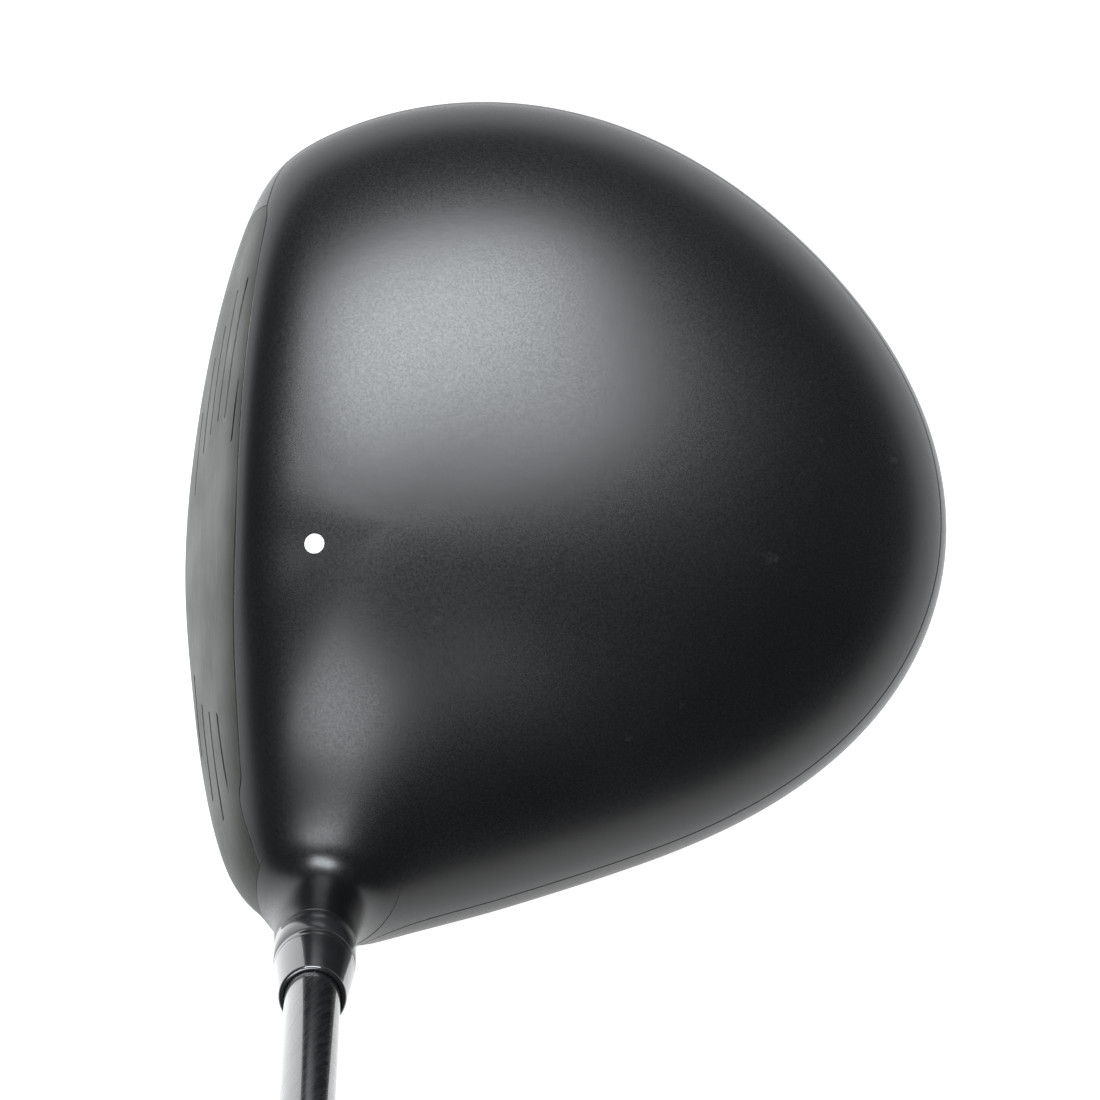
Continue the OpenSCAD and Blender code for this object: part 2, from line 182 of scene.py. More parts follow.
def head_field(p, top_t=STUB_T):
    face = (face_x(p[..., 1], p[..., 2]) - p[..., 0]) * math.cos(LOFT)
    body = blend_out(dome(p), face, EDGE_BLEND)
    return -blend_out(-body, -neck(p, top_t), HOSEL_BLEND)


def surface_distance(start, ways, top_t=STUB_T):
    """How far each ray goes from start before it first leaves the head."""
    reach = np.full(ways.shape[:-1], 4.0)
    for _ in range(45):
        inside = head_field(start + ways * reach[..., None], top_t) < 0
        if not inside.any():
            break
        reach = reach + 3 * inside
    low, high = reach - 3, reach
    for _ in range(22):
        middle = (low + high) / 2
        inside = head_field(start + ways * middle[..., None], top_t) < 0
        low, high = np.where(inside, middle, low), np.where(inside, high, middle)
    return low - INSET


def unit(v):
    return v / np.linalg.norm(v, axis=-1, keepdims=True)


def mix(a, b, u):
    return a + (b - a) * u


def crown_z(x, y):
    angle = plan_angle(x, y)
    middle, reach = widest_height(angle), np.hypot(x, y) / outline(angle)
    return middle + (CROWN_HEIGHT - middle) * np.sqrt(np.maximum(1 - reach**CROWN_POWER, 0))


def sole_z(x, y):
    angle = plan_angle(x, y)
    middle, reach = widest_height(angle), np.hypot(x, y) / outline(angle)
    return middle - (middle + SOLE_DIP) * np.sqrt(np.maximum(1 - reach**SOLE_POWER, 0))


# ---- Seams between the shells ----

TOE_TOP = np.array([-22.5, 56, 41])
TOE_LOW = np.array([-27.0, 50, 15])
HEEL_LOW = np.array([-25.5, -44, 14])
HEEL_TOP = SHAFT_FOOT + 45 * SHAFT_WAY
TOE_ANGLE, HEEL_ANGLE = 111, 258
CROWN_REACH, SOLE_REACH = 0.988, 0.86


def top_line(u):
    """The face's upper edge, which lies about a millimetre further over the rounding than the solid one."""
    y = mix(HEEL_TOP[1] + 8, TOE_TOP[1], u)
    z = crown_z(face_x(y, 48) + 2, y) - 2.8
    return [face_x(y, z) + 1.3, y, z]


def lead_line(u):
    y = mix(TOE_LOW[1], HEEL_LOW[1], u)
    return [face_x(y, 9) + 0.8, y, 9.5 + 5 * (2 * u - 1) ** 4]


def round_line(u, out, height):
    angle = mix(TOE_ANGLE, HEEL_ANGLE - 360, u)
    r = out * outline(angle)
    x, y = r * math.cos(math.radians(angle)), r * math.sin(math.radians(angle))
    return [x, y, height(x, y)]


def smooth_seam(first, line, steps, last, count):
    """count points along a smooth curve from first through the line's points to last."""
    guide = np.array([first, *[line(i / steps) for i in range(1, steps)], last], float)
    padded = np.vstack([2 * guide[0] - guide[1], guide, 2 * guide[-1] - guide[-2]])
    fine = []
    for i in range(len(guide) - 1):
        a, b, c, d = padded[i : i + 4]
        u = np.linspace(0, 1, 12, endpoint=False)[:, None]
        fine.append(0.5 * (2 * b + (c - a) * u + (2 * a - 5 * b + 4 * c - d) * u**2
                           + (3 * b - a - 3 * c + d) * u**3))
    fine = np.vstack([*fine, guide[-1:]])
    along = np.concatenate([[0], np.cumsum(np.linalg.norm(np.diff(fine, axis=0), axis=1))])
    at = np.linspace(0, along[-1], count)
    return np.stack([np.interp(at, along, fine[:, i]) for i in range(3)], axis=1)


TOP_SEAM = smooth_seam(HEEL_TOP, top_line, 18, TOE_TOP, 170)
LEAD_SEAM = smooth_seam(TOE_LOW, lead_line, 18, HEEL_LOW, 170)
CROWN_SEAM = smooth_seam(TOE_TOP, lambda u: round_line(u, CROWN_REACH, crown_z), 44, HEEL_TOP, 300)
SOLE_SEAM = smooth_seam(TOE_LOW, lambda u: round_line(u, SOLE_REACH, sole_z), 44, HEEL_LOW, 300)
TOE_SEAM = np.linspace(TOE_TOP, TOE_LOW, 50)
HEEL_SEAM = np.linspace(HEEL_LOW, HEEL_TOP, 50)

FACE_EDGE = np.vstack([TOP_SEAM[:-1], TOE_SEAM[:-1], LEAD_SEAM[:-1], HEEL_SEAM[:-1]])
CROWN_EDGE = np.vstack([TOP_SEAM[:-1], CROWN_SEAM[:-1]])[::-1]
SOLE_EDGE = np.vstack([LEAD_SEAM[:-1], SOLE_SEAM[::-1][:-1]])[::-1]

SEAM_HALF_GAP = 0.05
EDGE_ROUND = 0.2
EDGE_STEPS = np.array([1.2, 0.6, 0.32, EDGE_ROUND, 0.13, 0.07, 0.03, 0.01, 0])


def edge_depth(distance):
    """How deep a rounded edge lies below the surface at this distance from its end."""
    inward = np.clip(EDGE_ROUND - distance, 0, EDGE_ROUND)
    return EDGE_ROUND - np.sqrt(EDGE_ROUND**2 - inward**2)


# ---- Meshes ----


def grid_faces(rows, columns, closed_columns=False):
    """Triangles of a grid of points whose rows follow each other."""
    r, c = np.meshgrid(np.arange(rows - 1), np.arange(columns - (not closed_columns)), indexing="ij")
    a, b = (r * columns + c).ravel(), (r * columns + (c + 1) % columns).ravel()
    return np.vstack([np.stack([a, b, a + columns], 1), np.stack([b, b + columns, a + columns], 1)])


def ring_patch(middle, edge, rings):
    """Points and triangles of the head's surface inside a closed edge, its rim rounded over."""
    centre = unit(np.asarray(middle, float) - INSIDE)
    rim = unit(edge - INSIDE)
    spread = surface_distance(INSIDE, rim) * np.arccos(np.clip(rim @ centre, -1, 1))
    steps = (np.arange(rings) / rings)[:, None] ** 0.8 * (1 - EDGE_STEPS[0] / spread)
    close = 1 - (EDGE_STEPS[1:, None] + SEAM_HALF_GAP) / spread
    share = np.vstack([steps[1:], close])
    ways = unit(mix(centre, rim, share[..., None]))
    depth = np.concatenate([np.zeros(rings - 1), edge_depth(EDGE_STEPS[1:])])[:, None]
    reach = surface_distance(INSIDE, ways) - depth
    points = np.vstack([INSIDE + centre * surface_distance(INSIDE, centre[None]),
                        (INSIDE + ways * reach[..., None]).reshape(-1, 3)])
    count = len(edge)
    around = np.arange(count)
    fan = np.stack([np.zeros(count, int), 1 + around, 1 + (around + 1) % count], 1)[:, [0, 2, 1]]
    return points, np.vstack([fan, grid_faces(len(share), count, True) + 1])


def band_patch(low, high, rows):
    """The head's surface between two edges, rounded over along both of them."""
    low_way, high_way = unit(low - INSIDE), unit(high - INSIDE)
    width = surface_distance(INSIDE, low_way) * np.arccos(np.clip((low_way * high_way).sum(1), -1, 1))
    width = np.maximum(width, 4)
    close = (EDGE_STEPS + SEAM_HALF_GAP)[::-1, None] / width
    inner = mix(close[-1], 1 - close[-1], np.linspace(0, 1, rows)[1:-1, None])
    share = np.vstack([close, inner, 1 - close[::-1]])
    ways = unit(mix(low_way, high_way, share[..., None]))
    depth = np.concatenate([edge_depth(EDGE_STEPS[::-1]), np.zeros(rows - 2), edge_depth(EDGE_STEPS)])
    points = INSIDE + ways * (surface_distance(INSIDE, ways) - depth[:, None])[..., None]
    return points.reshape(-1, 3), grid_faces(len(share), len(low))


def clip(points, faces, value):
    """Keeps the part of a triangle mesh where value is above zero, cutting triangles along zero."""
    keep = value > 0
    whole = faces[keep[faces].all(1)]
    cut = faces[keep[faces].any(1) & ~keep[faces].all(1)]
    extra, made, out = [], {}, []

    def crossing(i, j):
        key = (min(i, j), max(i, j))
        if key not in made:
            u = value[i] / (value[i] - value[j])
            made[key] = len(points) + len(extra)
            extra.append(mix(points[i], points[j], u))
        return made[key]

    for face in cut:
        ring = []
        for i, j in zip(face, np.roll(face, -1)):
            if keep[i]:
                ring.append(i)
            if keep[i] != keep[j]:
                ring.append(crossing(i, j))
        out += [[ring[0], ring[k], ring[k + 1]] for k in range(1, len(ring) - 1)]
    points = np.vstack([points, *[e[None] for e in extra]])
    return points, np.vstack([whole, np.array(out, int).reshape(-1, 3)])


def open_edges(faces):
    """The edges that only one triangle has, in the direction that it has them."""
    edges = np.vstack([faces[:, [0, 1]], faces[:, [1, 2]], faces[:, [2, 0]]])
    size = edges.max() + 1
    forward, backward = edges[:, 0] * size + edges[:, 1], edges[:, 1] * size + edges[:, 0]
    return edges[~np.isin(forward, backward)]


def thicken(points, faces, wall):
    """A closed shell: the surface, a copy of it nearer the head's inside, and walls between them."""
    under = points - unit(points - INSIDE) * wall
    rim = open_edges(faces)
    count = len(points)
    walls = np.vstack([np.stack([rim[:, 1], rim[:, 0], rim[:, 0] + count], 1),
                       np.stack([rim[:, 1], rim[:, 0] + count, rim[:, 1] + count], 1)])
    return np.vstack([points, under]), np.vstack([faces, faces[:, ::-1] + count, walls])


def outward(points, faces):
    """The same faces, turned over when they enclose a volume below zero."""
    first, rest = points[faces[:, 0]], faces[:, 1:]
    volume = sum(np.einsum("ij,ij->", first, np.cross(points[rest[:, k]], points[rest[:, k + 1]]))
                 for k in range(rest.shape[1] - 1))
    return faces[:, ::-1] if volume < 0 else faces


def mesh_object(name, points, faces, smooth_angle=40):
    """A mesh in the frame's metres, with only the points that its faces use."""
    faces = outward(points, np.asarray(faces))
    used, index = np.unique(faces, return_inverse=True)
    mesh = bpy.data.meshes.new(name)
    mesh.from_pydata((points[used] * MM).tolist(), [], index.reshape(faces.shape).tolist())
    mesh.validate()
    mesh.update()
    piece = bpy.data.objects.new(name, mesh)
    bpy.context.scene.collection.objects.link(piece)
    smooth(piece, smooth_angle)
    return piece


def smooth(piece, angle):
    """Smooth shading, with an edge kept crisp where the faces turn by more than the angle."""
    with bpy.context.temp_override(object=piece, active_object=piece, selected_objects=[piece],
                                   selected_editable_objects=[piece]):
        bpy.ops.object.shade_smooth_by_angle(angle=math.radians(angle))


def place(piece, node, finish):
    """The piece stands for a CAD node: it takes its body and its finish."""
    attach(piece, frame["nodes"][node]["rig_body"])
    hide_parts(node)
    piece.data.materials.clear()
    piece.data.materials.append(finish)
    return piece


SEGMENTS = 144
AROUND = 2 * np.pi * np.arange(SEGMENTS) / SEGMENTS
SHAFT_AXES = (ACROSS, OVER, SHAFT_WAY)


def loft(name, rings, base=SHAFT_FOOT, axes=SHAFT_AXES, smooth_angle=40):
    """A closed solid of rings round an axis, its last ring joined to its first.

    Each ring is (radius, height), and either may change round the ring.
    """
    points = []
    for radius, height in rings:
        r, h = np.broadcast_to(radius, SEGMENTS), np.broadcast_to(height, SEGMENTS)
        points.append(base + np.outer(r * np.cos(AROUND), axes[0]) + np.outer(r * np.sin(AROUND), axes[1])
                      + np.outer(h, axes[2]))
    last = (len(rings) - 1) * SEGMENTS
    a, b = np.arange(SEGMENTS), (np.arange(SEGMENTS) + 1) % SEGMENTS
    faces = np.vstack([grid_faces(len(rings), SEGMENTS, True), np.stack([last + a, last + b, a], 1),
                       np.stack([last + b, b, a], 1)])
    return mesh_object(name, np.vstack(points), faces, smooth_angle)


# ---- Finishes ----


class Finish:
    """One procedural material on a shader's sockets, textured by the piece's own coordinates in metres."""

    def __init__(self, name, **values):
        self.material = bpy.data.materials.new(name)
        self.material.use_nodes = True
        self.tree = self.material.node_tree
        self.shader = self.tree.nodes["Principled BSDF"]
        self.here = self.node("ShaderNodeTexCoord").outputs["Object"]
        for key, value in values.items():
            self.shader.inputs[key.replace("_", " ")].default_value = value

    def node(self, kind, inputs=None, **settings):
        made = self.tree.nodes.new(kind)
        for key, value in settings.items():
            setattr(made, key, value)
        for key, value in (inputs or {}).items():
            if isinstance(value, bpy.types.NodeSocket):
                self.tree.links.new(value, made.inputs[key])
            else:
                made.inputs[key].default_value = value
        return made

    def stretched(self, scale, turn=(0, 0, 0), origin=(0, 0, 0)):
        moved = self.node("ShaderNodeVectorMath", {0: self.here, 1: origin}, operation="SUBTRACT")
        turned = self.node("ShaderNodeVectorRotate", {"Vector": moved.outputs[0], "Rotation": turn},
                           rotation_type="EULER_XYZ")
        return self.node("ShaderNodeVectorMath", {0: turned.outputs[0], 1: scale},
                         operation="MULTIPLY").outputs[0]

    def noise(self, size, detail=3.0, rough=0.55, where=None):
        """Noise whose blobs are about size millimetres across."""
        return self.node("ShaderNodeTexNoise", {"Vector": where or self.here, "Scale": 1 / (size * MM),
                                                "Detail": detail, "Roughness": rough}).outputs["Fac"]

    def spread(self, value, low, high, start=0.3, end=0.7):
        """The value's start to end taken to low to high, and held there beyond them."""
        return self.node("ShaderNodeMapRange", {"Value": value, "From Min": start, "From Max": end,
                                                "To Min": low, "To Max": high}).outputs["Result"]

    def colours(self, value, first, second, start=0.3, end=0.7):
        factor = self.spread(value, 0, 1, start, end)
        mixed = self.node("ShaderNodeMix", {"Factor": factor}, data_type="RGBA")
        mixed.inputs[6].default_value = (*first, 1)
        mixed.inputs[7].default_value = (*second, 1)
        return mixed.outputs[2]

    def tint(self, base, factor, colour):
        """The base colour with another laid over it where the factor says."""
        mixed = self.node("ShaderNodeMix", {"Factor": factor}, data_type="RGBA")
        self.tree.links.new(base, mixed.inputs[6])
        mixed.inputs[7].default_value = (*colour, 1)
        return mixed.outputs[2]

    def total(self, *parts):
        """The sum of (value, weight) pairs."""
        out = None
        for value, weight in parts:
            added = self.node("ShaderNodeMath", {0: value, 1: weight}, operation="MULTIPLY").outputs[0]
            out = added if out is None else self.node("ShaderNodeMath", {0: out, 1: added},
                                                      operation="ADD").outputs[0]
        return out

    def put(self, socket, value):
        self.tree.links.new(value, self.shader.inputs[socket])

    def bump(self, height, depth, strength=1.0):
        """Relief whose full height is depth millimetres."""
        made = self.node("ShaderNodeBump", {"Height": height, "Distance": depth * MM, "Strength": strength})
        self.put("Normal", made.outputs["Normal"])


def satin_paint(name, dark, light, roughness, grain_depth):
    """Black paint with a fine powdery grain, soft orange peel and a few dull scuffs."""
    f = Finish(name, Specular_IOR_Level=0.5)
    grain = f.noise(0.35, 2, 0.6)
    peel = f.noise(2.2, 2, 0.5)
    cloud = f.noise(22, 3)
    scuffs = f.noise(5, 6, 0.7, f.stretched((0.35, 1, 1), (0.3, 0.2, 0.6)))
    scuffed = f.spread(scuffs, 0, 1, 0.66, 0.74)
    f.put("Base Color", f.tint(f.colours(cloud, dark, light), f.total((scuffed, 0.25)), (0.05, 0.05, 0.052)))
    f.put("Roughness", f.total((f.spread(grain, roughness - 0.05, roughness + 0.05), 1), (scuffed, 0.06)))
    f.bump(f.total((grain, 1), (peel, 2.5)), grain_depth)
    return f.material


def brushed_face(name):
    """Dark brushed metal: fine lines from toe to heel and a faint darker mottle."""
    f = Finish(name, Metallic=1.0, Specular_IOR_Level=0.5)
    fine = f.noise(0.16, 3, 0.6, f.stretched((1, 0.012, 1)))
    coarse = f.noise(0.7, 3, 0.6, f.stretched((1, 0.02, 1)))
    mottle = f.noise(14, 4)
    lines = f.total((fine, 0.6), (coarse, 0.4))
    base = f.colours(lines, (0.028, 0.031, 0.027), (0.060, 0.064, 0.057), 0.35, 0.65)
    f.put("Base Color", f.tint(base, f.spread(mottle, 0, 0.35, 0.4, 0.7), (0.024, 0.026, 0.023)))
    f.put("Roughness", f.total((f.spread(lines, 0.36, 0.5), 1), (f.spread(mottle, -0.03, 0.05), 1)))
    f.bump(f.total((fine, 1), (coarse, 1.4)), 0.012)
    return f.material


def gloss_black(name, colour, roughness, ripple, coat=1.0):
    """Polished black under a clear coat, with hairline handling marks and a slow ripple."""
    f = Finish(name, Coat_Weight=coat, Coat_Roughness=0.06, Coat_IOR=1.5, Specular_IOR_Level=0.5)
    slow = f.noise(6, 2)
    dust = f.noise(0.5, 4, 0.65)
    hair = f.noise(1.1, 5, 0.7, f.stretched((1, 0.05, 0.12), (0.5, 0.1, 0)))
    marked = f.spread(hair, 0, 1, 0.68, 0.76)
    f.put("Base Color", f.tint(f.colours(slow, colour, tuple(c * 1.7 for c in colour)),
                               f.total((marked, 0.12)), (0.06, 0.06, 0.065)))
    f.put("Roughness", f.total((f.spread(dust, roughness, roughness + 0.08), 1), (marked, 0.08)))
    f.bump(f.total((slow, 1), (dust, 0.12)), ripple)
    return f.material


def carbon_gloss(name):
    """The shaft's gloss black over wound carbon: faint slanting plies under a smooth coat."""
    f = Finish(name, Coat_Weight=1.0, Coat_Roughness=0.04, Coat_IOR=1.5, Specular_IOR_Level=0.5)
    ply = f.noise(0.45, 3, 0.6, f.stretched((1, 0.06, 0.06), (0, 0.35, 0)))
    cloud = f.noise(9, 3)
    f.put("Base Color", f.tint(f.colours(ply, (0.006, 0.006, 0.007), (0.016, 0.016, 0.018), 0.4, 0.7),
                               f.spread(cloud, 0, 0.5), (0.008, 0.008, 0.01)))
    f.put("Roughness", f.spread(ply, 0.2, 0.34))
    f.bump(f.total((cloud, 1), (ply, 0.1)), 0.006)
    return f.material


def turned_metal(name, origin, axis, first, second, roughness, line=0.09):
    """Metal with the fine rings that a lathe leaves round its axis."""
    f = Finish(name, Metallic=1.0, Specular_IOR_Level=0.5)

    def vector(operation, inputs, output=0):
        return f.node("ShaderNodeVectorMath", inputs, operation=operation).outputs[output]

    moved = vector("SUBTRACT", {0: f.here, 1: tuple(origin * MM)})
    along = vector("DOT_PRODUCT", {0: moved, 1: tuple(axis)}, "Value")
    lengthwise = vector("SCALE", {0: tuple(axis), "Scale": along})
    side = vector("SUBTRACT", {0: moved, 1: lengthwise})
    radius = vector("LENGTH", {0: side}, "Value")
    both = f.node("ShaderNodeCombineXYZ", {"X": radius, "Y": f.total((along, 0.6))}).outputs[0]
    rings = f.node("ShaderNodeTexNoise", {"Vector": both, "Scale": 1 / (line * MM), "Detail": 2.0,
                                          "Roughness": 0.6}).outputs["Fac"]
    blotch = f.noise(3.5, 4)
    f.put("Base Color", f.tint(f.colours(rings, first, second), f.spread(blotch, 0, 0.4, 0.45, 0.7),
                               tuple(c * 0.6 for c in first)))
    f.put("Roughness", f.total((f.spread(rings, roughness - 0.05, roughness + 0.08), 1),
                               (f.spread(blotch, -0.02, 0.08), 1)))
    f.bump(rings, 0.01)
    return f.material


def black_oxide(name):
    """Blackened steel, rubbed brighter where a wrench has touched it."""
    f = Finish(name, Metallic=0.85, Specular_IOR_Level=0.5)
    fine, patch = f.noise(0.3, 4, 0.6), f.noise(1.6, 5, 0.7)
    rubbed = f.spread(patch, 0, 1, 0.58, 0.7)
    f.put("Base Color", f.tint(f.colours(fine, (0.02, 0.02, 0.022), (0.045, 0.045, 0.05)),
                               f.total((rubbed, 0.5)), (0.22, 0.215, 0.2)))
    f.put("Roughness", f.spread(fine, 0.36, 0.52))
    f.bump(fine, 0.02)
    return f.material


def plain_plastic(name, first, second, roughness, size=0.6, depth=0.02):
    f = Finish(name, Specular_IOR_Level=0.5)
    grain, cloud = f.noise(size, 4, 0.6), f.noise(size * 12, 3)
    f.put("Base Color", f.colours(f.total((grain, 0.5), (cloud, 0.5)), first, second, 0.4, 0.62))
    f.put("Roughness", f.spread(grain, roughness - 0.05, roughness + 0.07))
    f.bump(grain, depth)
    return f.material


def grip_rubber(name):
    """Matt rubber: a fine moulded grain, dusty in places and polished by hands in others."""
    f = Finish(name, Specular_IOR_Level=0.35, Sheen_Weight=0.12, Sheen_Roughness=0.5)
    grain, cloud, dust = f.noise(0.4, 4, 0.65), f.noise(18, 4), f.noise(2.5, 5, 0.7)
    base = f.colours(cloud, (0.014, 0.014, 0.015), (0.026, 0.026, 0.027))
    f.put("Base Color", f.tint(base, f.spread(dust, 0, 0.3, 0.58, 0.72), (0.075, 0.073, 0.07)))
    f.put("Roughness", f.total((f.spread(grain, 0.62, 0.8), 1), (f.spread(cloud, -0.1, 0.03), 1)))
    f.bump(grain, 0.05)
    return f.material


def paper_tape(name):
    """Crinkled cream tape wound under the grip."""
    f = Finish(name, Specular_IOR_Level=0.3)
    fibre, crease = f.noise(0.5, 5, 0.7), f.noise(4, 3, 0.6, f.stretched((1, 0.4, 2.5)))
    f.put("Base Color", f.colours(f.total((fibre, 0.5), (crease, 0.5)), (0.5, 0.44, 0.3), (0.72, 0.66, 0.5)))
    f.put("Roughness", f.spread(fibre, 0.6, 0.8))
    f.bump(f.total((fibre, 0.3), (crease, 1)), 0.08)
    return f.material


def studio_floor(name):
    f = Finish(name, Specular_IOR_Level=0.2, Emission_Color=(1, 1, 1, 1), Emission_Strength=0.85)
    f.put("Base Color", f.colours(f.noise(300, 2), (0.41, 0.41, 0.41), (0.45, 0.45, 0.45)))
    f.put("Roughness", f.spread(f.noise(40, 3), 0.75, 0.85))
    return f.material


# ---- The head's shells ----


def off_hosel(p):
    """Above zero outside the cone that the hosel's flare fills."""
    t, side = shaft_station(p)
    return side - (t - CUT_T) * math.tan(math.radians(CUT_ANGLE))


def port_frame(screw_joint):
    """Middle of a weight's port on the sole, the way down its screw, and two ways across."""
    joint = JOINTS[screw_joint]
    centre, down = in_mm(joint["pos_m"]), unit(np.array(joint["axis"], float))
    across = unit(np.cross([0.0, 1.0, 0.0], down))
    return centre, (across, np.cross(down, across), down)


def off_port(p, port, radius):
    centre, axes = port
    d = p - centre
    return np.where(np.abs(d @ axes[2]) < 12, np.hypot(d @ axes[0], d @ axes[1]) - radius, 99)


REAR_PORT = port_frame("rear_screw_turn")
FRONT_PORT = port_frame("front_screw_turn")
REAR_RADIUS, FRONT_RADIUS = 9.5, 6.5
PORT_WALL = 1.2
PORT_SINK = 0.9
WEIGHT_HEIGHT = 5
SCREW_RADIUS = 1.95
SCREW_HEAD_RADIUS, SCREW_HEAD_HEIGHT = 3.6, 3
LOW_TUBE_TOP = 25


def off_tube(p):
    t, side = shaft_station(p)
    return np.where(t < LOW_TUBE_TOP, side - PORT_TUBE_RADIUS - 0.02, 99)


def shell(name, patch, wall, *clips):
    points, faces = patch
    for field in clips:
        points, faces = clip(points, faces, field(points))
    points[:, 2] = np.maximum(points[:, 2], 0)
    return mesh_object(name, *thicken(points, faces, wall), smooth_angle=50)


# Score lines: height on the face, and how far from its middle each starts and ends
SCORE_HEIGHTS = [48.5 - 5 * i for i in range(6)]
SCORE_STARTS = [17, 22, 22.5, 21.5, 19.5, 14]
SCORE_ENDS = [36, 44.5, 43, 38.5, 34.5, 27]
SCORE_HALF_WIDTH = 0.4
SCORE_DEPTH = 0.5
SCORE_STATIONS = 36
SCORE_RUN_OUT = 0.9


def score_cutters():
    """Rounded troughs along the face, shallower at both ends."""
    turn = np.linspace(-math.pi / 2, math.pi / 2, 9)
    points, faces = [], []
    for side in (-1, 1):
        for height, start, end in zip(SCORE_HEIGHTS, SCORE_STARTS, SCORE_ENDS):
            along = np.linspace(start, end, SCORE_STATIONS)[::-side]
            close = np.minimum(along - start, end - along)
            depth = SCORE_DEPTH * np.sqrt(np.clip(close / SCORE_RUN_OUT, 0.02, 1))
            rings = []
            for a, d in zip(along, depth):
                y = FACE_MIDDLE[0] + side * a
                x = face_x(y, height) + INSET / math.cos(LOFT)
                section = [(x + d * math.cos(v), y, height + SCORE_HALF_WIDTH * math.sin(v)) for v in turn]
                rings.append([(x - 1.5, y, height - SCORE_HALF_WIDTH), *section,
                              (x - 1.5, y, height + SCORE_HALF_WIDTH)])
            ring = np.array(rings)
            count = ring.shape[1]
            base = sum(len(p) for p in points)
            points.append(ring.reshape(-1, 3))
            caps = [[0, k + 1, k] for k in range(1, count - 1)]
            last = (SCORE_STATIONS - 1) * count
            caps += [[last, last + k, last + k + 1] for k in range(1, count - 1)]
            faces.append(np.vstack([grid_faces(SCORE_STATIONS, count, True), caps]) + base)
    return mesh_object("score_cutters", np.vstack(points), np.vstack(faces))


def cut_away(piece, cutter):
    """The piece with the cutter taken out of it; the cutter goes."""
    tool = piece.modifiers.new("cut", "BOOLEAN")
    tool.operation, tool.solver, tool.object = "DIFFERENCE", "EXACT", cutter
    bpy.context.view_layer.update()
    made = bpy.data.meshes.new_from_object(piece.evaluated_get(bpy.context.evaluated_depsgraph_get()))
    piece.modifiers.clear()
    piece.data = made
    bpy.data.objects.remove(cutter)
    smooth(piece, 40)


FACE_WALL, CROWN_WALL, BODY_WALL = 3.0, 1.1, 1.5
face = shell("face", ring_patch([FACE_FRONT, *FACE_MIDDLE], FACE_EDGE, 60), FACE_WALL, off_hosel)
cut_away(face, score_cutters())
place(face, "face_plate", brushed_face("face_metal"))

SATIN_DARK, SATIN_LIGHT = (0.0035, 0.0037, 0.0042), (0.0055, 0.0057, 0.0064)
crown_paint = satin_paint("crown_paint", SATIN_DARK, SATIN_LIGHT, 0.33, 0.0035)
body_paint = satin_paint("body_paint", SATIN_DARK, SATIN_LIGHT, 0.33, 0.0035)
sole_paint = satin_paint("sole_paint", (0.006, 0.0062, 0.007), (0.010, 0.0102, 0.011), 0.28, 0.008)
crown = shell("crown_shell", ring_patch([12, 2, CROWN_HEIGHT], CROWN_EDGE, 90), CROWN_WALL, off_hosel)
place(crown, "crown", crown_paint)
skirt = shell("skirt", band_patch(SOLE_SEAM, CROWN_SEAM, 34), BODY_WALL, off_hosel, off_tube)
place(skirt, "body_skirt", body_paint)
sole = shell("sole", ring_patch([8, 0, 0], SOLE_EDGE, 90), BODY_WALL, off_hosel, off_tube,
             lambda p: off_port(p, REAR_PORT, REAR_RADIUS + PORT_WALL + 0.05),
             lambda p: off_port(p, FRONT_PORT, FRONT_RADIUS + PORT_WALL + 0.05))
place(sole, "sole_plate", sole_paint)

# ---- Hosel ----


def flare_rings(count):
    """The neck's outer skin as rings round the shaft's axis, from the rim to the shells' conical cut."""
    start = SHAFT_FOOT + CUT_T * SHAFT_WAY
    rim_angle = math.degrees(math.atan(HOSEL_RADIUS / (RIM_T - CUT_T)))
    rings = []
    for share in np.linspace(0, 1, count)[1:]:
        tilt = math.radians(mix(rim_angle, CUT_ANGLE, share**0.8))
        ways = (math.cos(tilt) * SHAFT_WAY + math.sin(tilt)
                * (np.cos(AROUND)[:, None] * ACROSS + np.sin(AROUND)[:, None] * OVER))
        reach = surface_distance(start, ways, RIM_T + 20)
        rings.append((reach * math.sin(tilt), CUT_T + reach * math.cos(tilt)))
    return rings


def sole_station(radius):
    """Where a tube of this radius round the shaft's axis comes out of the sole, all the way round."""
    start = (SHAFT_FOOT + (SEAT_T - SEAT_DEPTH) * SHAFT_WAY
             + radius * (np.cos(AROUND)[:, None] * ACROSS + np.sin(AROUND)[:, None] * OVER))
    return SEAT_T - SEAT_DEPTH - surface_distance(start, np.broadcast_to(-SHAFT_WAY, start.shape))


def splined(low, high, half_width):
    """A radius that stands at high for each spline and at low between them."""
    turn = (AROUND * SPLINES / (2 * math.pi)) % 1
    near = np.minimum(turn, 1 - turn) * 2 * math.pi / SPLINES
    edge = math.asin(half_width / high)
    return np.where(near < edge + 0.01, high, low)


